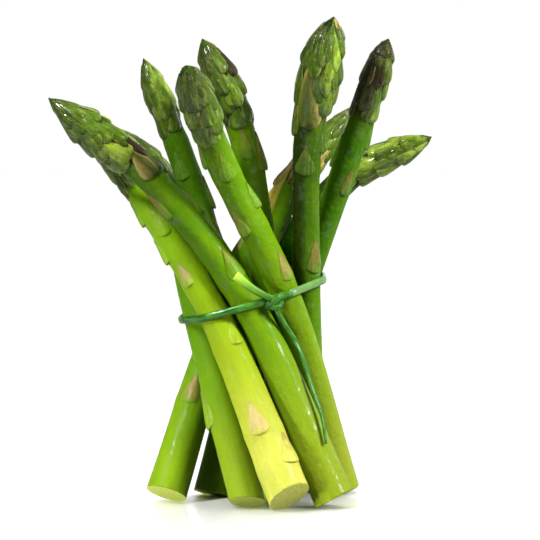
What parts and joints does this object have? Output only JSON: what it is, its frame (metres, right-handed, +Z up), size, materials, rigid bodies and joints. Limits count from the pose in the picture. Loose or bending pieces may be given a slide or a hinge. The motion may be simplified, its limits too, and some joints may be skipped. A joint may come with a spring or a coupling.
{
  "type": "bundle of asparagus",
  "caption": "Upright bundle of trimmed green asparagus spears, fanned out above and below a knotted chive leaf that ties it at the waist, standing on its cut ends.",
  "frame": {"origin": "on the floor under the middle of the bundle's outline", "axes": "+Z up from the cut ends to the tips, +Y from the side with the knot to the back"},
  "size_m": [0.138, 0.0943, 0.175],
  "materials": {
    "asparagus": "glossy, moist vegetable skin",
    "chive": "satin, slightly waxy leaf"
  },
  "bodies": {
    "root": {"spear_front_lime": "asparagus", "spear_front_big": "asparagus", "spear_left_front": "asparagus", "spear_left_upright": "asparagus", "spear_centre_blunt": "asparagus", "spear_centre_back": "asparagus", "spear_tall_fat": "asparagus", "spear_right_slim": "asparagus", "spear_right_low": "asparagus", "spear_left_foot": "asparagus", "chive_tie": "chive"}
  },
  "joints": []
}
